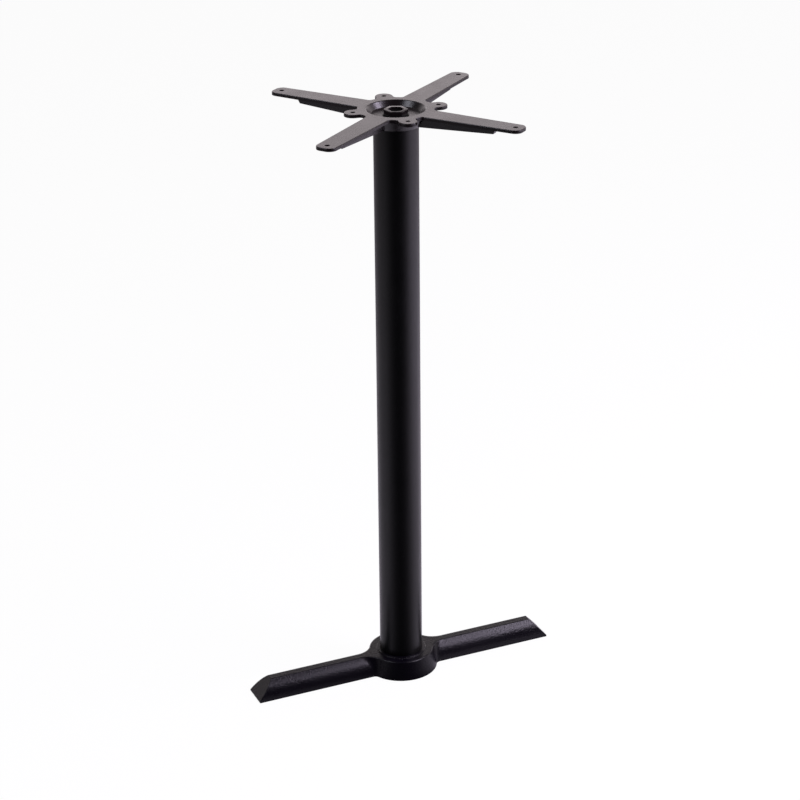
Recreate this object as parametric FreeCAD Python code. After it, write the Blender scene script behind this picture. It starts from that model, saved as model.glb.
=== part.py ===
import FreeCAD, Part
import math
import os

os.makedirs("parts", exist_ok=True)

# A tall pedestal for a table top: a long narrow cast foot, a round steel column and a cast spider
# with four arms, drawn together by one tie tube inside the column.
# Sizes are millimetres and angles are degrees. The floor is z = 0, the column stands on the
# z axis and the two legs of the foot lie along x.

# the whole
height = 1050.0  # floor to the face the table top rests on
column_d = 76.0
column_wall = 2.0
socket_gap = 0.3  # all round the column, in the foot and in the spider

# cast foot
foot_length = 568.0
leg_width = 50.0  # at the floor
leg_height = 34.0
leg_top = 14.0  # width of the flat strip along the top
leg_bulge = 4.0  # how far the sides stand out from a straight slope
leg_edge = 2.5  # rounding along both edges of the strip
hub_draft = 13.0  # slope of the walls round the hub
foot_wall = 6.0
end_slope = 48.0  # of the flat cut at the end of a leg, from the floor
end_land = 3.0  # height of the upright face that is left below the cut
end_edge = 1.5  # rounding round the cut
hub_ring = 4.0  # width of the hollow between the cup and the hub's wall, at its ceiling
hub_edge = 3.0
hub_blend = 10.0  # hollow rounding between a leg and the hub, at the floor
blend_bite = 0.1  # how far the rounding sinks into the hub, so that the two join cleanly
collar_wall = 5.7  # low rim that the column enters
collar_rise = 1.5
foot_socket = 14.0  # depth of the column's seat below the top of the hub
foot_floor = 8.0  # metal under the seat
cup_wall = 6.5  # round the seat
gusset = 6.0
gusset_lift = 5.0  # from the floor to the lower edge of a gusset

# cast spider
plate = 5.5
arm_hole_pcd = 440.0
arm_hole_d = 8.5
arm_tip = 14.5  # metal beyond the hole of an arm
arm_tip_width = 35.0
arm_root_width = 42.0
arm_corner = 13.0
arm_turn = 37.0  # the first arm, from the first leg
ear_out = 9.0  # from the edge of the disc to the hole of an ear
ear_hole_d = 8.0
ear_d = 30.0
web_round = 6.0  # hollow rounding between arms, ears and disc, less where they leave no room
plate_edge = 1.2
dish_d = 99.0  # at its rim
dish_flare = 7.5  # how far the rim stands out beyond the floor
dish_depth = 10.0
dish_round = 2.0  # rounding at its rim and at its floor
disc_rim = 14.5  # flat ring between the dish and the edge of the disc
dish_floor = 6.0  # metal between the dish and the end of the column
spider_socket = 10.0  # how far the column enters
skirt_wall = 4.7  # round the socket, at its lower rim
rib_stop = 34.0  # from the hole of an arm to the outer end of its rib
rib_slope = 4.0  # length of the slanted outer end
rib_tip_depth = 16.0  # both depths from the top face
rib_root_depth = 25.0
rib_top = 11.0  # thickness where it meets the plate
rib_bottom = 7.0
rib_root = 3.0  # hollow rounding between a rib and the plate

# tie tube, nuts and washers
tie_d = 24.0
tie_bore_d = 19.0
tie_inset = 2.0  # end of the tube below the face of its nut
tie_hole_gap = 0.75
thread_gap = 0.05
nut_flats = 36.0
nut_height = 7.0
nut_bevel = 1.5
washer_d = 44.0
washer_height = 2.0

# from the sizes above
column_r = column_d / 2
socket_r = column_r + socket_gap
tie_hole_d = tie_d + 2 * tie_hole_gap
disc_d = dish_d + 2 * disc_rim
arm_share = math.asin(arm_root_width / disc_d)
ear_share = math.asin(ear_d / disc_d)
web_blend = min(web_round, disc_d * 0.22 * (math.pi / 4 - arm_share - ear_share))
dish_floor_d = dish_d - 2 * dish_flare
ear_hole_pcd = disc_d + 2 * ear_out
rib_reach = arm_hole_pcd / 2 - rib_stop
collar_d = 2 * (socket_r + collar_wall)
skirt_d = 2 * (socket_r + skirt_wall)
foot_seat = leg_height - foot_socket
foot_ceiling = foot_seat - foot_floor
dish_bottom = height - dish_depth
column_top = dish_bottom - dish_floor
skirt_bottom = column_top - spider_socket
top_nut_low = dish_bottom + washer_height
bottom_nut_low = foot_ceiling - washer_height - nut_height
tie_low = bottom_nut_low - tie_inset / 2
tie_high = top_nut_low + nut_height - tie_inset
hub_taper = math.tan(math.radians(hub_draft))
hollow_top = leg_height - foot_wall
cup_top_r = socket_r + cup_wall + (hollow_top - foot_ceiling) * hub_taper
ring_top_r = cup_top_r + hub_ring
hub_d = 2 * (ring_top_r + hollow_top * hub_taper + foot_wall)
leg_lean = math.atan2((leg_width - leg_top) / 2, leg_height)
leg_chord = leg_height / math.cos(leg_lean)
leg_arc_r = leg_chord**2 / (8 * leg_bulge) + leg_bulge / 2
leg_arc_y = (leg_width + leg_top) / 4 - (leg_arc_r - leg_bulge) * math.cos(leg_lean)
leg_arc_z = leg_height / 2 - (leg_arc_r - leg_bulge) * math.sin(leg_lean)

X = FreeCAD.Vector(1, 0, 0)
Y = FreeCAD.Vector(0, 1, 0)
Z = FreeCAD.Vector(0, 0, 1)
CENTRE = FreeCAD.Vector(0, 0, 0)


def turned(outline):
    """Turns a closed outline of (radius, height) points about the column's axis."""
    points = [FreeCAD.Vector(r, 0, z) for r, z in outline + outline[:1]]
    return Part.Face(Part.makePolygon(points)).revolve(CENTRE, Z, 360)


def swept(outline, along, length):
    """Extrudes a closed outline of points evenly to both sides of the plane it is drawn in."""
    points = [FreeCAD.Vector(*p) for p in outline + outline[:1]]
    face = Part.Face(Part.makePolygon(points))
    face.translate(along * (-length / 2))
    return face.extrude(along * length)


def rims(shape, places):
    """Finds the circular edges that lie at the given (radius, height) places."""
    found = []
    for edge in shape.Edges:
        box = edge.BoundBox
        for r, z in places:
            level = max(abs(box.ZMin - z), abs(box.ZMax - z)) < 0.01
            if level and abs(box.XMax - r) < 0.01:
                found.append(edge)
    return found


def polar(shape, count, first=0.0):
    """Repeats a shape evenly round the column's axis."""
    copies = []
    for i in range(count):
        copy = shape.copy()
        copy.rotate(CENTRE, Z, first + i * 360 / count)
        copies.append(copy)
    return copies


def line(start, finish):
    """Makes a straight edge."""
    return Part.LineSegment(start, finish).toShape()


def leg_side(z, inset=0.0):
    """Gives half the width of a leg at one height. Each side is an arc, and an inset moves it inwards."""
    return leg_arc_y + math.sqrt((leg_arc_r - inset) ** 2 - (z - leg_arc_z) ** 2)


def leg_outline(z):
    """Draws both legs in plan at one height, with the hollow roundings that lead into the hub."""
    reach = hub_d / 2 - blend_bite
    sine = (leg_width / 2 + hub_blend) / (reach + hub_blend)
    cosine = math.sqrt(1 - sine**2)
    side = leg_side(z)
    hub_r = reach - z * hub_taper
    bend = (hub_r * sine - side) / (1 - sine)
    bend_x = (hub_r + bend) * cosine
    bend_y = (hub_r + bend) * sine
    halfway = FreeCAD.Vector(-cosine, -sine - 1, 0).normalize() * bend
    end = foot_length / 2
    tip = FreeCAD.Vector(end, side, z)
    points = [
        tip,
        FreeCAD.Vector(bend_x, side, z),
        FreeCAD.Vector(bend_x, bend_y, z) + halfway,
        FreeCAD.Vector(hub_r * cosine, hub_r * sine, z),
        FreeCAD.Vector(hub_r * cosine * 0.7, hub_r * sine * 0.7, z),
    ]
    edges = []
    for sx, sy in ((1, 1), (1, -1), (-1, 1), (-1, -1)):
        a, b, c, d, e = [FreeCAD.Vector(p.x * sx, p.y * sy, z) for p in points]
        edges += [line(a, b), Part.Arc(b, c, d).toShape(), line(d, e)]
    root = points[-1]
    for s in (1, -1):
        edges.append(line(FreeCAD.Vector(s * end, -side, z), FreeCAD.Vector(s * end, side, z)))
        edges.append(line(FreeCAD.Vector(-root.x, s * root.y, z), FreeCAD.Vector(root.x, s * root.y, z)))
    return Part.Wire(Part.__sortEdges__(edges))


def end_cut(inset=0.0):
    """Makes the two wedges that lie beyond the slanted ends of the legs."""
    lean = math.tan(math.radians(end_slope))
    foot = foot_length / 2 - inset / math.sin(math.radians(end_slope))
    top = leg_height * 2
    outline = [
        (foot, 0, end_land),
        (foot - (top - end_land) / lean, 0, top),
        (foot + 60, 0, top),
        (foot + 60, 0, end_land - 60 * lean),
    ]
    wedge = swept(outline, Y, leg_width * 2)
    return wedge.fuse(wedge.mirror(CENTRE, X))


def legs():
    """Makes both legs as one bar: arched sides, a flat strip on top, a slanted cut at each end."""
    bar = Part.makeLoft([leg_outline(leg_height * i / 4) for i in range(5)], True, False)
    shoulders = []
    for edge in bar.Edges:
        box = edge.BoundBox
        on_top = box.ZMin > leg_height - 0.01
        along_a_leg = box.XLength > 1 and max(box.XMax, -box.XMin) > hub_d * 0.45
        if on_top and along_a_leg and box.XMin * box.XMax > 0:
            shoulders.append(edge)
    bar = bar.makeFillet(leg_edge, shoulders).cut(end_cut())
    lean = math.cos(math.radians(end_slope))
    rim = []
    for face in bar.Faces:
        if abs(abs(face.normalAt(0, 0).z) - lean) < 0.001 and abs(face.CenterOfMass.x) > foot_length * 0.4:
            rim += [edge for edge in face.Edges if edge.BoundBox.ZMax > 0.1]
    return bar.makeFillet(end_edge, rim)


def hub():
    """Makes the round middle of the foot with the low rim round the column."""
    outer = hub_d / 2
    top = outer - leg_height * hub_taper
    collar = collar_d / 2
    rim = leg_height + collar_rise
    solid = turned([(0, 0), (outer, 0), (top, leg_height), (collar, leg_height), (collar, rim), (0, rim)])
    solid = solid.makeFillet(hub_edge, rims(solid, [(top, leg_height)]))
    return solid.makeFillet(collar_rise * 0.45, rims(solid, [(collar, leg_height), (collar, rim)]))


def leg_hollow():
    """Makes the space under both legs, one wall thickness inside them."""
    levels = (0, hollow_top / 2, hollow_top)
    points = [FreeCAD.Vector(-foot_length / 2, leg_side(z, foot_wall), z) for z in levels]
    mirrored = [FreeCAD.Vector(p.x, -p.y, p.z) for p in points]
    edges = [
        Part.Arc(*points).toShape(),
        Part.Arc(*mirrored).toShape(),
        line(points[0], mirrored[0]),
        line(points[2], mirrored[2]),
    ]
    space = Part.Face(Part.Wire(Part.__sortEdges__(edges))).extrude(X * foot_length)
    return space.cut(end_cut(foot_wall))


def hub_hollow():
    """Makes the ring-shaped space under the hub, round the cup that holds the column."""
    outline = [
        (0, 0),
        (hub_d / 2 - foot_wall, 0),
        (ring_top_r, hollow_top),
        (cup_top_r, hollow_top),
        (socket_r + cup_wall, foot_ceiling),
        (0, foot_ceiling),
    ]
    space = turned(outline)
    return space.makeFillet(hub_ring * 0.45, rims(space, [(ring_top_r, hollow_top), (cup_top_r, hollow_top)]))


def gussets():
    """Makes the four webs between the cup and the wall of the hub."""
    inner = socket_r + cup_wall / 2
    outer = hub_d / 2 - foot_wall / 2 - leg_height * hub_taper
    web = Part.makeBox(outer - inner, gusset, leg_height - foot_wall / 2 - gusset_lift)
    web.translate(FreeCAD.Vector(inner, -gusset / 2, gusset_lift))
    return polar(web, 4, 45)


def foot_casting():
    """Makes the whole foot, hollow underneath, with the seat and the hole for the tie tube."""
    cup = Part.makeCylinder(socket_r + cup_wall, leg_height, FreeCAD.Vector(0, 0, foot_ceiling))
    hollow = leg_hollow().cut(cup).fuse(hub_hollow())
    solid = legs().fuse(hub()).removeSplitter().cut(hollow)
    solid = solid.fuse(gussets())
    seat = Part.makeCylinder(socket_r, height, FreeCAD.Vector(0, 0, foot_seat))
    hole = Part.makeCylinder(tie_hole_d / 2, height)
    return solid.cut([seat, hole]).removeSplitter()


def arm_outline(z):
    """Draws one arm in plan, pointing along x and widening towards the disc."""
    tip = arm_hole_pcd / 2 + arm_tip
    a = arm_root_width / 2
    b = arm_tip_width / 2
    return [(0, -a, z), (disc_d / 2, -a, z), (tip, -b, z), (tip, b, z), (disc_d / 2, a, z), (0, a, z)]


def upright_edges(shape, low, high):
    """Finds the vertical edges that stand between two distances from the column's axis."""
    found = []
    for edge in shape.Edges:
        box = edge.BoundBox
        reach = math.hypot(box.Center.x, box.Center.y)
        if max(box.XLength, box.YLength) < 0.01 and low < reach < high:
            found.append(edge)
    return found


def plate_body():
    """Makes the flat top of the spider: a disc, four arms and four ears with hollow roundings between."""
    low = height - plate
    tip = arm_hole_pcd / 2 + arm_tip
    ear_x = ear_hole_pcd / 2
    arm = swept(arm_outline(height - plate / 2), Z, plate)
    arm = arm.makeFillet(arm_corner, upright_edges(arm, tip - 1, tip + arm_tip_width))
    ear = Part.makeCylinder(ear_d / 2, plate, FreeCAD.Vector(ear_x, 0, low))
    ear = ear.fuse(Part.makeBox(ear_x, ear_d, plate, FreeCAD.Vector(0, -ear_d / 2, low))).removeSplitter()
    solid = Part.makeCylinder(disc_d / 2, plate, FreeCAD.Vector(0, 0, low))
    solid = solid.fuse(polar(arm, 4) + polar(ear, 4, 45)).removeSplitter()
    solid = solid.makeFillet(web_blend, upright_edges(solid, disc_d / 2 - 1, disc_d / 2 + 3))
    upper = [edge for edge in solid.Edges if edge.BoundBox.ZMin > height - 0.01]
    return solid.makeFillet(plate_edge, upper)


def rib_section():
    """Draws a rib from its end: widest at the plate, with a hollow rounding there, and thinner below."""
    top = height - plate / 2
    under = height - plate
    low = height - rib_root_depth - 1
    a = rib_top / 2
    b = rib_bottom / 2
    wide = a + rib_root
    mid = rib_root * (1 - math.sqrt(0.5))
    edges = [
        line(FreeCAD.Vector(0, -wide, top), FreeCAD.Vector(0, wide, top)),
        line(FreeCAD.Vector(0, -b, low), FreeCAD.Vector(0, b, low)),
    ]
    for side in (1, -1):
        corner = FreeCAD.Vector(0, side * wide, under)
        hollow = FreeCAD.Vector(0, side * (a + mid), under - mid)
        root = FreeCAD.Vector(0, side * a, under - rib_root)
        edges.append(line(FreeCAD.Vector(0, side * wide, top), corner))
        edges.append(Part.Arc(corner, hollow, root).toShape())
        edges.append(line(root, FreeCAD.Vector(0, side * b, low)))
    return Part.Face(Part.Wire(Part.__sortEdges__(edges)))


def rib():
    """Makes the upright rib under one arm: deep at the hub and slanted at its outer end."""
    outline = [
        (0, 0, height),
        (rib_reach, 0, height),
        (rib_reach, 0, height - plate - rib_root),
        (rib_reach - rib_slope, 0, height - rib_tip_depth),
        (skirt_d / 2, 0, height - rib_root_depth),
        (0, 0, height - rib_root_depth),
    ]
    side = swept(outline, Y, rib_top * 3)
    return side.common(rib_section().extrude(X * rib_reach * 2))


def bowl():
    """Makes the solid bowl under the disc, before the dish and the socket are cut into it."""
    inner = disc_d / 2 - web_blend
    under = height - plate
    return turned([(0, height), (inner, height), (inner, under), (skirt_d / 2, skirt_bottom), (0, skirt_bottom)])


def dish():
    """Makes the space of the round dish that holds the nut."""
    floor = dish_floor_d / 2
    slope = (dish_d - dish_floor_d) / 2 / dish_depth
    rise = 5.0
    mouth = dish_d / 2 + rise * slope
    space = turned([(0, dish_bottom), (floor, dish_bottom), (mouth, height + rise), (0, height + rise)])
    return space.makeFillet(dish_round, rims(space, [(floor, dish_bottom)]))


def top_spider():
    """Makes the whole spider and turns its first arm to its place."""
    solid = plate_body().fuse(polar(rib(), 4) + [bowl()]).removeSplitter()
    socket = Part.makeCylinder(socket_r, column_top - skirt_bottom + 5, FreeCAD.Vector(0, 0, skirt_bottom - 5))
    solid = solid.cut([dish(), socket])
    solid = solid.makeFillet(dish_round, rims(solid, [(dish_d / 2, height)]))
    arm_hole = Part.makeCylinder(arm_hole_d / 2, height * 2, FreeCAD.Vector(arm_hole_pcd / 2, 0, 0))
    ear_hole = Part.makeCylinder(ear_hole_d / 2, height * 2, FreeCAD.Vector(ear_hole_pcd / 2, 0, 0))
    tie_hole = Part.makeCylinder(tie_hole_d / 2, height * 2)
    solid = solid.cut(polar(arm_hole, 4) + polar(ear_hole, 4, 45) + [tie_hole])
    solid.rotate(CENTRE, Z, arm_turn)
    return solid


def pipe(outer_d, inner_d, low, high):
    """Makes a plain tube or washer between two heights."""
    outer = Part.makeCylinder(outer_d / 2, high - low, FreeCAD.Vector(0, 0, low))
    return outer.cut(Part.makeCylinder(inner_d / 2, height * 2))


def nut(low):
    """Makes a hexagon nut with bevelled corners that stands on the given height."""
    corner = nut_flats / math.sqrt(3)
    points = []
    for i in range(6):
        angle = math.radians(60 * i)
        points.append((corner * math.cos(angle), corner * math.sin(angle), low + nut_height / 2))
    block = swept(points, Z, nut_height)
    high = low + nut_height
    flat = corner - nut_bevel
    drop = nut_bevel * 0.6
    turned_part = turned([(0, low), (flat, low), (corner, low + drop), (corner, high - drop), (flat, high), (0, high)])
    bore = tie_d + 2 * thread_gap
    return block.common(turned_part).cut(Part.makeCylinder(bore / 2, height * 2))


nodes = {
    "foot_casting": foot_casting(),
    "column_tube": pipe(column_d, column_d - 2 * column_wall, foot_seat, column_top),
    "top_spider": top_spider(),
    "tie_tube": pipe(tie_d, tie_bore_d, tie_low, tie_high),
    "top_washer": pipe(washer_d, tie_hole_d, dish_bottom, top_nut_low),
    "top_nut": nut(top_nut_low),
    "bottom_washer": pipe(washer_d, tie_hole_d, foot_ceiling - washer_height, foot_ceiling),
    "bottom_nut": nut(bottom_nut_low),
}
for name, shape in nodes.items():
    shape.exportStep(f"parts/{name}.step")
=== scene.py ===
# %% [markdown]
# A tall pedestal base for a table top. The castings, the column, the nuts and the washers come from
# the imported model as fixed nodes, in metres, with the floor at z = 0 and the column on the z axis.
# This script dresses them: it gives every surface its finish, adds the screw threads and the nut
# that takes a key, and sets up the studio.

# %% Load the fixed frame
import math
import bpy
from mathutils import Matrix, Vector


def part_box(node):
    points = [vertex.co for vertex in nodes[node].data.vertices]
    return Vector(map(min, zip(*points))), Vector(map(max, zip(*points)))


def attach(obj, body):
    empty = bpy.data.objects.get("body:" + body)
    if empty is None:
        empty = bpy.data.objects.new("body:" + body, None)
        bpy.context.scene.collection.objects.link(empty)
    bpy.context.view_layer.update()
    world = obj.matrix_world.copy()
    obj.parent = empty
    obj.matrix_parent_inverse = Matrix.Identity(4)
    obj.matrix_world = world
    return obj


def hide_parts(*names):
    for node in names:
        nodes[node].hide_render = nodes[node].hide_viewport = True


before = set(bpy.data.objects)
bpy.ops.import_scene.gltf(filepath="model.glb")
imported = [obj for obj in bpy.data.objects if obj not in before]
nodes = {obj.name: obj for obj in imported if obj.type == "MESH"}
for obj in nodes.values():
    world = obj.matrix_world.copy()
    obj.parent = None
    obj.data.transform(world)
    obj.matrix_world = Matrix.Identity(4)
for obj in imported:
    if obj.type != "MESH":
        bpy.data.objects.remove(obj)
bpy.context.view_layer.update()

# %% [markdown]
# The photograph was taken with a long lens, from the left and from above. A camera can be matched
# by eye, but a straight column shows every small error, so this one was fitted by calculation to
# the drilled holes, the edges of the column and the corners of the foot. Its three axes are the
# columns of a matrix, because that says exactly how it is turned.

# %% Camera
AZIMUTH = math.radians(-23.637)
ELEVATION = math.radians(24.216)
ROLL = math.radians(-0.551)
CAMERA_PLACE = (-1.502297, -3.438347, 2.212545)
FOCAL_PIXELS = 2374.789
PHOTO_PIXELS = 800
SENSOR_WIDTH = 36
back = Vector((math.sin(AZIMUTH) * math.cos(ELEVATION),
               -math.cos(AZIMUTH) * math.cos(ELEVATION),
               math.sin(ELEVATION)))
level = Vector((math.cos(AZIMUTH), math.sin(AZIMUTH), 0))
upright = back.cross(level)
right = level * math.cos(ROLL) + upright * math.sin(ROLL)
up = upright * math.cos(ROLL) - level * math.sin(ROLL)
camera_data = bpy.data.cameras.new("camera")
camera_data.sensor_width = SENSOR_WIDTH
camera_data.lens = FOCAL_PIXELS * SENSOR_WIDTH / PHOTO_PIXELS
camera_data.clip_end = 100
camera = bpy.data.objects.new("camera", camera_data)
bpy.context.collection.objects.link(camera)
turn = Matrix((right, up, back)).transposed().to_4x4()
camera.matrix_world = Matrix.Translation(CAMERA_PLACE) @ turn
bpy.context.scene.camera = camera
print("lens", round(camera_data.lens, 1), "mm, camera height", round(camera.location.z, 3), "m")

# %% [markdown]
# Every finish here is a node tree. In the shader editor a node is added, its values are typed in
# and its sockets are joined by wires. Two helpers do the same from code, so that a tree reads as a
# short list: one adds a node with its settings and values, and one adds a Map Range node, which
# stretches one range of values onto another. Smoothstep eases both ends of the new range.


# %% Helpers for node trees
def add_node(tree, kind, values=None, **settings):
    node = tree.nodes.new("ShaderNode" + kind)
    for setting, choice in settings.items():
        setattr(node, setting, choice)
    for socket, value in (values or {}).items():
        node.inputs[socket].default_value = value
    return node


def remap(tree, source, before, after, curve="SMOOTHSTEP"):
    values = {"From Min": before[0], "From Max": before[1],
              "To Min": after[0], "To Max": after[1]}
    node = add_node(tree, "MapRange", values, interpolation_type=curve)
    tree.links.new(source, node.inputs["Value"])
    return node.outputs["Result"]


# %% [markdown]
# The castings and the tube wear powder coat: a plastic powder that is sprayed on and melted to a
# skin. It could be a clear coat over a metal, but the real skin hides the metal, so a dark glossy
# plastic is right. It is never quite flat. The fine waviness, called orange peel, is a noise
# texture used as bump, and a larger, cloudy noise lets the gloss and the tone vary a little. Both
# read the object's own coordinates, so they need no unwrapping. Peel and depth are in metres.

# %% Helper for coated surfaces
CLOUDS_PER_METRE = 22
NOISE_SPAN = (0.3, 0.7)
TONE_SPREAD = 0.15


def coat(name, colour, roughness, variation, peel, depth, specular):
    material = bpy.data.materials.new(name)
    material.use_nodes = True
    tree = material.node_tree
    shader = tree.nodes["Principled BSDF"]
    shader.inputs["Specular IOR Level"].default_value = specular
    place = add_node(tree, "TexCoord")
    fine = add_node(tree, "TexNoise", {"Scale": 1 / peel, "Detail": 3})
    bump = add_node(tree, "Bump", {"Strength": 1, "Distance": depth})
    cloudy = add_node(tree, "TexNoise", {"Scale": CLOUDS_PER_METRE, "Detail": 5})
    darker = [channel * (1 - TONE_SPREAD) for channel in colour] + [1]
    lighter = [channel * (1 + TONE_SPREAD) for channel in colour] + [1]
    tone = add_node(tree, "Mix", {"A": darker, "B": lighter}, data_type="RGBA")
    gloss = remap(tree, cloudy.outputs["Fac"], NOISE_SPAN,
                  (roughness - variation, roughness + variation), "LINEAR")
    tree.links.new(place.outputs["Object"], fine.inputs["Vector"])
    tree.links.new(place.outputs["Object"], cloudy.inputs["Vector"])
    tree.links.new(fine.outputs["Fac"], bump.inputs["Height"])
    tree.links.new(bump.outputs["Normal"], shader.inputs["Normal"])
    tree.links.new(gloss, shader.inputs["Roughness"])
    tree.links.new(cloudy.outputs["Fac"], tone.inputs["Factor"])
    tree.links.new(tone.outputs["Result"], shader.inputs["Base Color"])
    print("finish", name, "roughness", roughness, "peel", peel * 1000, "mm")
    return material


# %% [markdown]
# The foot has the coarsest coat, and a fine grain shows on its shoulders. The column is the
# smoothest, and its colour is almost pure black, because all that is seen on it is the studio. The
# spider's coat is thinner and a little greyer, so its flat top looks grey where light grazes it.
# Nuts and washers are steel that was blackened in a hot bath. That oxide is dark and dull, and it
# hides the bright metal, so it is made with the same helper.

# %% Finishes
foot_coat = coat("foot_coat", (0.0022, 0.0016, 0.0036), roughness=0.28, variation=0.02,
                 peel=0.003, depth=0.0004, specular=0.22)
column_coat = coat("column_coat", (0.001, 0.001, 0.0012), roughness=0.33, variation=0.03,
                   peel=0.004, depth=0.00003, specular=0.34)
spider_coat = coat("spider_coat", (0.007, 0.0046, 0.0052), roughness=0.27, variation=0.03,
                   peel=0.0018, depth=0.00012, specular=0.36)
nut_steel = coat("nut_steel", (0.004, 0.004, 0.0045), roughness=0.4, variation=0.06,
                 peel=0.001, depth=0.00003, specular=0.3)
washer_steel = coat("washer_steel", (0.003, 0.003, 0.003), roughness=0.4, variation=0.05,
                    peel=0.001, depth=0.00003, specular=0.3)
tie_steel = coat("tie_steel", (0.003, 0.003, 0.003), roughness=0.4, variation=0.05,
                 peel=0.001, depth=0.00003, specular=0.3)

# %% [markdown]
# A node comes with a plain material, which is little more than a colour. Swapping what its slot
# holds is enough to dress it, and the shape isn't touched. The tie tube and the nut in the dish
# aren't in this list, because new pieces take their places further down.

# %% Dress the nodes
FINISHES = {
    "foot_casting": foot_coat,
    "column_tube": column_coat,
    "top_spider": spider_coat,
    "bottom_nut": nut_steel,
    "top_washer": washer_steel,
    "bottom_washer": washer_steel,
}
for node_name, material in FINISHES.items():
    for slot in nodes[node_name].material_slots:
        slot.material = material
    print("dressed", node_name)

# %% [markdown]
# In the middle of the dish stands a low hexagon with a six-sided pocket, into which a key goes. Two
# of its corners point along the first arm, and it wears the same coat as the spider. The packed
# model has a plain nut of the same size there, so the height and the width are read from that.

# %% Sizes of the socket nut
NUT_LOW, NUT_HIGH = [corner[2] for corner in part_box("top_nut")]
NUT_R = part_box("top_nut")[1][0]
ARM_TURN = math.radians(37)
POCKET_R = 0.0141
POCKET_DEPTH = 0.004
CORNER_ROUND = 0.0025
EDGE_ROUND = 0.0006
print("nut", round((NUT_HIGH - NUT_LOW) * 1000, 2), "mm high,",
      round(NUT_R * 2000, 2), "mm across its corners")

# %% [markdown]
# A long steel tube inside the column draws the foot, the column and the spider together, and it is
# cut with a fine screw thread at both ends. On a model a thread is often only a striped picture,
# but someone may take this base apart, so this one is real. The sizes of the tube are read from the
# frame, and it ends at the floor of the pocket. The tooth is an equilateral triangle, as on any
# metric thread, and a little narrower than the pitch. It is one and a half times as high as the
# radius of the circle around it, which gives the depth of the thread.

# %% Sizes of the tie tube
TIE_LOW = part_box("tie_tube")[0][2]
TIE_HIGH = NUT_HIGH - POCKET_DEPTH
TIE_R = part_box("tie_tube")[1][0]
TIE_BORE_R = 0.0095
THREAD_PITCH = 0.0015
THREAD_LENGTH = 0.03
THREAD_GAP = 0.00005
TOOTH_HALF = 0.4 * THREAD_PITCH
TOOTH_R = TOOTH_HALF * 2 / math.sqrt(3)
ROOT_R = TIE_R - TOOTH_R * 1.5
print("tube radius", round(TIE_R * 1000, 2), "mm, thread depth",
      round((TIE_R - ROOT_R) * 1000, 2), "mm")

# %% [markdown]
# Operators work on what is selected, and the loaded nodes are selected at first, so each step
# begins by deselecting everything. These helpers keep that in one place: one selects a single
# piece, one selects its vertices or edges by where they lie and stays in edit mode, and one applies
# the modifiers and moves the piece's place into its mesh.


# %% Helpers for modelling
def only(thing):
    bpy.ops.object.select_all(action="DESELECT")
    bpy.context.view_layer.objects.active = thing
    thing.select_set(True)


def pick(thing, rule, kind="VERT"):
    only(thing)
    bpy.ops.object.mode_set(mode="EDIT")
    bpy.ops.mesh.select_mode(type=kind)
    bpy.ops.mesh.select_all(action="DESELECT")
    bpy.ops.object.mode_set(mode="OBJECT")
    vertices = thing.data.vertices
    if kind == "EDGE":
        for edge in thing.data.edges:
            edge.select = rule(*[vertices[index].co for index in edge.vertices])
    else:
        for vertex in vertices:
            vertex.select = rule(vertex.co)
    bpy.ops.object.mode_set(mode="EDIT")


def settle(thing):
    bpy.ops.object.mode_set(mode="OBJECT")
    only(thing)
    for modifier in list(thing.modifiers):
        bpy.ops.object.modifier_apply(modifier=modifier.name)
    bpy.ops.object.transform_apply(location=True, rotation=True, scale=True)


# %% [markdown]
# The tube could be spun from a profile, as on a lathe. A cylinder is quicker, because its wall is
# the same all along: it is added open, at the root of the thread, and a Solidify modifier gives it
# the wall. Before that, Bisect cuts two rings beside each place where a thread ends. The outer skin
# between the threads is then scaled out to the full diameter, and the short cone that is left
# between two rings is the run-out of the thread.

# %% Body of the tie tube
ROUND_SIDES = 72
RUNOUT_HALF = 0.0005
THREAD_ENDS = (TIE_LOW + THREAD_LENGTH, TIE_HIGH - THREAD_LENGTH)
bpy.ops.object.select_all(action="DESELECT")
bpy.ops.mesh.primitive_cylinder_add(
    vertices=ROUND_SIDES, radius=ROOT_R, depth=TIE_HIGH - TIE_LOW,
    end_fill_type="NOTHING", location=(0, 0, (TIE_HIGH + TIE_LOW) / 2))
tie = bpy.context.object
tie.name = "threaded_tie"
settle(tie)
for thread_end in THREAD_ENDS:
    for shift in (-RUNOUT_HALF, RUNOUT_HALF):
        pick(tie, lambda co: True)
        bpy.ops.mesh.bisect(plane_co=(0, 0, thread_end + shift), plane_no=(0, 0, 1))
        bpy.ops.object.mode_set(mode="OBJECT")
wall = tie.modifiers.new("wall", "SOLIDIFY")
wall.thickness = ROOT_R - TIE_BORE_R
wall.offset = -1
settle(tie)
mid_wall = (ROOT_R + TIE_BORE_R) / 2
pick(tie, lambda co: co.xy.length > mid_wall and THREAD_ENDS[0] < co.z < THREAD_ENDS[1])
swell = TIE_R / ROOT_R
bpy.ops.transform.resize(value=(swell, swell, 1), center_override=(0, 0, 0))
settle(tie)
print("tube", len(tie.data.polygons), "faces")

# %% [markdown]
# A real thread is cut by a die, which leaves a spiral of teeth. It is built the other way round
# here: a tooth starts as a circle of three points, which is a triangle, stood on its edge beside
# the axis and sunk a little into the tube. The Screw modifier turns it about the axis and lifts it
# by the pitch on each turn. Its two open ends are filled, and its faces are made to point outwards.

# %% Helper for threads
TURNS = int((THREAD_LENGTH - 2 * TOOTH_HALF) / THREAD_PITCH)
SUNK = 0.00003
STEPS_PER_TURN = 48


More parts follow.
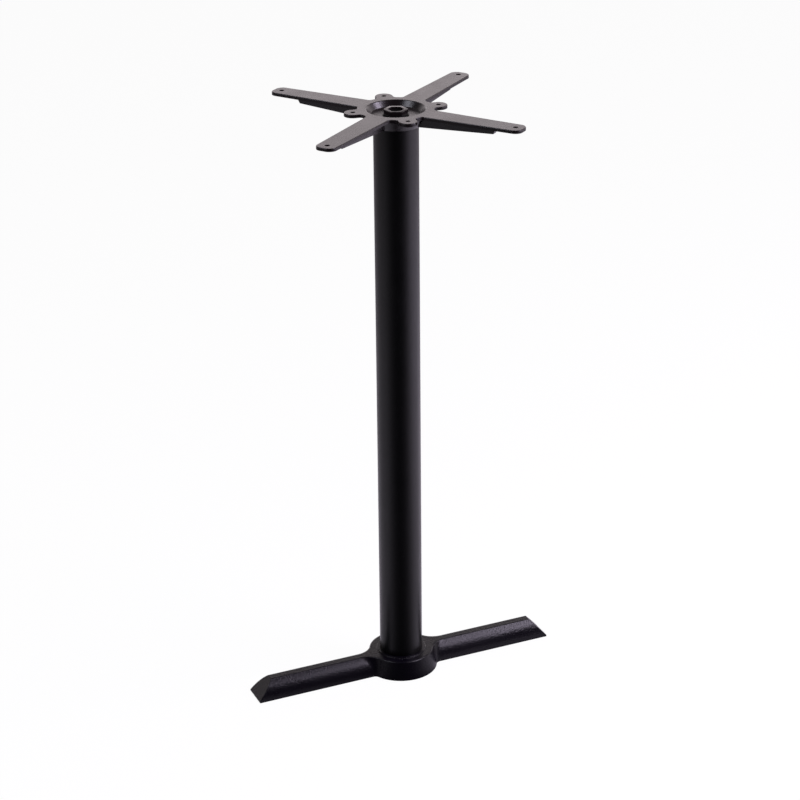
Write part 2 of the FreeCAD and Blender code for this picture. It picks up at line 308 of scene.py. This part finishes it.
def thread(name, start):
    bpy.ops.object.select_all(action="DESELECT")
    bpy.ops.mesh.primitive_circle_add(
        vertices=3, radius=TOOTH_R, location=(ROOT_R - SUNK + TOOTH_R / 2, 0, start),
        rotation=(math.radians(90), math.radians(90), 0))
    made = bpy.context.object
    made.name = name
    settle(made)
    sweep = made.modifiers.new("sweep", "SCREW")
    sweep.axis = "Z"
    sweep.steps = STEPS_PER_TURN
    sweep.render_steps = STEPS_PER_TURN
    sweep.screw_offset = THREAD_PITCH
    sweep.iterations = TURNS
    settle(made)
    pick(made, lambda co: True)
    bpy.ops.mesh.fill_holes(sides=3)
    bpy.ops.mesh.select_all(action="SELECT")
    bpy.ops.mesh.normals_make_consistent(inside=False)
    bpy.ops.object.mode_set(mode="OBJECT")
    print(name, TURNS, "turns,", len(made.data.polygons), "faces")
    return made


# %% [markdown]
# One thread starts half a tooth above the lower end of the tube, and the other stops half a tooth
# below the upper end, so that neither sticks out. Both are joined to the tube, which makes one
# piece. Shading by angle keeps the teeth sharp and the wall round. The last lines tell the frame
# which body the piece belongs to, what it is finished in and which fixed node it stands in for.

# %% Threads of the tie tube
SMOOTH_ANGLE = math.radians(35)
upper = thread("upper_thread", TIE_HIGH - TOOTH_HALF - TURNS * THREAD_PITCH)
lower = thread("lower_thread", TIE_LOW + TOOTH_HALF)
only(tie)
upper.select_set(True)
lower.select_set(True)
bpy.ops.object.join()
bpy.ops.object.shade_smooth_by_angle(angle=SMOOTH_ANGLE)
tie.data.materials.append(tie_steel)
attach(tie, "root")
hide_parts("tie_tube")
print("threaded tie", len(tie.data.polygons), "faces")


# %% [markdown]
# The nut and the two tools that cut it all start as upright blocks with a number of sides, so one
# helper makes them. Blender puts the first corner of a cylinder on the y axis, and the turn is
# counted from there, which brings that corner in line with the first arm.


# %% Helper for blocks and cutters
def block(name, sides, radius, low, high):
    bpy.ops.object.select_all(action="DESELECT")
    bpy.ops.mesh.primitive_cylinder_add(
        vertices=sides, radius=radius, depth=high - low,
        location=(0, 0, (low + high) / 2), rotation=(0, 0, ARM_TURN - math.radians(90)))
    made = bpy.context.object
    made.name = name
    settle(made)
    return made


# %% [markdown]
# On the real base the nut is cast or pressed, so none of its edges is sharp, and a round edge
# catches light. The six upright edges are bevelled first and wide, and then all the edges of the
# top a little. Bevelling them in one go would give both the same width.

# %% Outside of the socket nut
socket_nut = block("socket_nut", 6, NUT_R, NUT_LOW, NUT_HIGH)
pick(socket_nut, lambda one, other: (one.xy - other.xy).length < EDGE_ROUND, "EDGE")
bpy.ops.mesh.bevel(offset=CORNER_ROUND, segments=5, affect="EDGES")
bpy.ops.object.mode_set(mode="OBJECT")
pick(socket_nut, lambda co: co.z > (NUT_LOW + NUT_HIGH) / 2)
bpy.ops.mesh.bevel(offset=EDGE_ROUND, segments=2, affect="EDGES")
bpy.ops.object.mode_set(mode="OBJECT")
print("outside of the nut", len(socket_nut.data.polygons), "faces")

# %% [markdown]
# The pocket could be inset and pushed down in edit mode, but a round hole has to go through it as
# well. Two Boolean modifiers cut the pocket and the hole, as a punch and a drill would, and the
# cutters are then deleted. They reach far above the nut, so that they cut its top cleanly. The
# drill is a hair wider than the tie tube, so that the two don't rub. The coat is given after the
# cuts, so that the pocket wears it too.

# %% Pocket and bore of the socket nut
ABOVE = NUT_HIGH * 2
punch = block("punch", 6, POCKET_R, TIE_HIGH, ABOVE)
drill = block("drill", ROUND_SIDES, TIE_R + THREAD_GAP, TIE_LOW, ABOVE)
for cutter in (punch, drill):
    cut = socket_nut.modifiers.new("cut", "BOOLEAN")
    cut.operation = "DIFFERENCE"
    cut.solver = "EXACT"
    cut.object = cutter
settle(socket_nut)
for cutter in (punch, drill):
    bpy.data.objects.remove(cutter)
bpy.ops.object.shade_smooth_by_angle(angle=SMOOTH_ANGLE)
socket_nut.data.materials.clear()
socket_nut.data.materials.append(spider_coat)
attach(socket_nut, "root")
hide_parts("top_nut")
print("socket nut", len(socket_nut.data.polygons), "faces")

# %% [markdown]
# Product photographs often have a plain white background, but a room that is white all round would
# turn a black glossy object grey. Blender can tell the rays that come straight from the camera from
# all others. This helper uses that: the camera's rays mostly see one shader, and the light and the
# reflections come from the other one.


# %% Helper for what the camera sees
def show_camera(tree, real, shown, share, output):
    path = add_node(tree, "LightPath")
    part = add_node(tree, "Math", {1: share}, operation="MULTIPLY")
    blend = add_node(tree, "MixShader")
    tree.links.new(path.outputs["Is Camera Ray"], part.inputs[0])
    tree.links.new(part.outputs[0], blend.inputs[0])
    tree.links.new(real.outputs[0], blend.inputs[1])
    tree.links.new(shown.outputs[0], blend.inputs[2])
    tree.links.new(blend.outputs[0], tree.nodes[output].inputs["Surface"])
    return path.outputs["Is Camera Ray"]


# %% [markdown]
# Almost all that is seen on a black object is a reflection, so the studio shapes it more than its
# colour does. The camera looks down on the base, so the column mirrors the floor. The floor is
# painted dark in front of the base, as painted shade for the dim side of the studio, and pale beside
# and behind it. Two sheets would leave an edge in the gloss, so one plane does both.

# %% Floor
bpy.ops.object.select_all(action="DESELECT")
bpy.ops.mesh.primitive_plane_add(size=30, location=(0, 0, 0))
floor = bpy.context.object
floor.name = "floor"
floor_paint = bpy.data.materials.new("floor_paint")
floor_paint.use_nodes = True
floor.data.materials.append(floor_paint)
print("floor", round(floor.dimensions.x), "m wide")

# %% [markdown]
# The direction from the base to a point of the floor is compared with the way the camera looks, by
# a dot product: it is largest straight away from the camera and smallest towards it. That number,
# stretched to a brightness, is painted shade: the floor is painted dark towards the camera and pale
# away from it. The camera itself sees white paper everywhere, by a plain glow, but a small share
# stays real paint, so that a shadow falls on it.

# %% Paint of the floor
SHADE_TURN = math.radians(6)
AWAY = Matrix.Rotation(SHADE_TURN, 3, "Z") @ Vector((-back.x, -back.y, 0))
SHADE_TO_PAPER = (-0.95, -0.15)
FLOOR_BRIGHTNESS = (0.03, 0.8)
GLOW_SHARE = 0.95
tree = floor_paint.node_tree
shader = tree.nodes["Principled BSDF"]
shader.inputs["Roughness"].default_value = 0.9
shader.inputs["Specular IOR Level"].default_value = 0.2
glow = add_node(tree, "Emission", {"Strength": 1.0})
camera_ray = show_camera(tree, shader, glow, GLOW_SHARE, "Material Output")
ground = add_node(tree, "TexCoord")
outwards = add_node(tree, "VectorMath", operation="NORMALIZE")
ahead = add_node(tree, "VectorMath", {1: AWAY}, operation="DOT_PRODUCT")
seen = add_node(tree, "Math", operation="MAXIMUM")
# Painted shade: the floor's colour for light and reflections is dark towards the camera and pale
# away from it.
painted_shade = remap(tree, ahead.outputs["Value"], SHADE_TO_PAPER, FLOOR_BRIGHTNESS)
tree.links.new(ground.outputs["Object"], outwards.inputs[0])
tree.links.new(outwards.outputs["Vector"], ahead.inputs[0])
tree.links.new(painted_shade, seen.inputs[0])
tree.links.new(camera_ray, seen.inputs[1])
tree.links.new(seen.outputs[0], shader.inputs["Base Color"])
print("cloth towards the camera, paper from", SHADE_TO_PAPER[1], "on")

# %% [markdown]
# The room is bright low down behind the base, and dark overhead and where the camera stands. It
# could be a picture of a studio, but two ranges are enough: a direction in the world is compared
# with one arrow by a dot product, which a smooth range turns into brightness, and a second range
# dims it with height. So the flat top of the spider mirrors the bright wall and looks grey, while
# faces that turn to the camera stay black, as in the photograph. The camera sees a white room.

# %% Room
BRIGHT_SIDE = (0.66, 0.68, 0.31)
DARK_TO_BRIGHT = (-0.15, 0.75)
ROOM_BRIGHTNESS = (0.03, 1.75)
LOW_TO_HIGH = (0.26, 0.52)
HEIGHT_DIMMING = (1.0, 0.2)
world = bpy.data.worlds.new("studio")
bpy.context.scene.world = world
world.use_nodes = True
tree = world.node_tree
room = tree.nodes["Background"]
room.inputs["Color"].default_value = (1, 0.91, 0.94, 1)
white = add_node(tree, "Background", {"Color": (1, 1, 1, 1)})
show_camera(tree, room, white, 1, "World Output")
place = add_node(tree, "TexCoord")
facing = add_node(tree, "VectorMath", {1: BRIGHT_SIDE}, operation="DOT_PRODUCT")
split = add_node(tree, "SeparateXYZ")
strength = add_node(tree, "Math", operation="MULTIPLY")
fade = remap(tree, facing.outputs["Value"], DARK_TO_BRIGHT, ROOM_BRIGHTNESS)
rise = remap(tree, split.outputs["Z"], LOW_TO_HIGH, HEIGHT_DIMMING)
tree.links.new(place.outputs["Generated"], facing.inputs[0])
tree.links.new(place.outputs["Generated"], split.inputs[0])
tree.links.new(fade, strength.inputs[0])
tree.links.new(rise, strength.inputs[1])
tree.links.new(strength.outputs[0], room.inputs["Strength"])
print("room bright towards", BRIGHT_SIDE)

# %% [markdown]
# Two softboxes, both a little violet, do the rest. One hangs overhead, to the right and in front of
# the base: the arched side of the right leg mirrors it to the camera, which gives the long pale
# line along the leg and the smaller one on the left leg, and it casts the soft shadow. The other
# stands high at the left, where the right half of the round dish mirrors it. A softbox is an area
# light, because a small lamp would give a hard bright dot on gloss. The Standard view then shows
# each colour about as it was written.


# %% Lamps
def softbox(name, place, target, width, length, power, colour):
    data = bpy.data.lights.new(name, "AREA")
    data.shape = "RECTANGLE"
    data.size = width
    data.size_y = length
    data.energy = power
    data.color = colour
    made = bpy.data.objects.new(name, data)
    bpy.context.collection.objects.link(made)
    made.location = place
    made.rotation_euler = (Vector(target) - Vector(place)).to_track_quat("-Z", "Y").to_euler()
    print("lamp", name, power, "W")


softbox("overhead", place=(2.06, -2.0, 2.7), target=(2.06, -2.0, 0),
        width=1.2, length=3.4, power=220, colour=(0.89, 0.8, 1.0))
softbox("left", place=(-1.9, -0.1, 2.72), target=(0, 0, 1.04),
        width=1.2, length=1.2, power=34, colour=(0.88, 0.88, 1.0))

bpy.context.scene.view_settings.view_transform = "Standard"
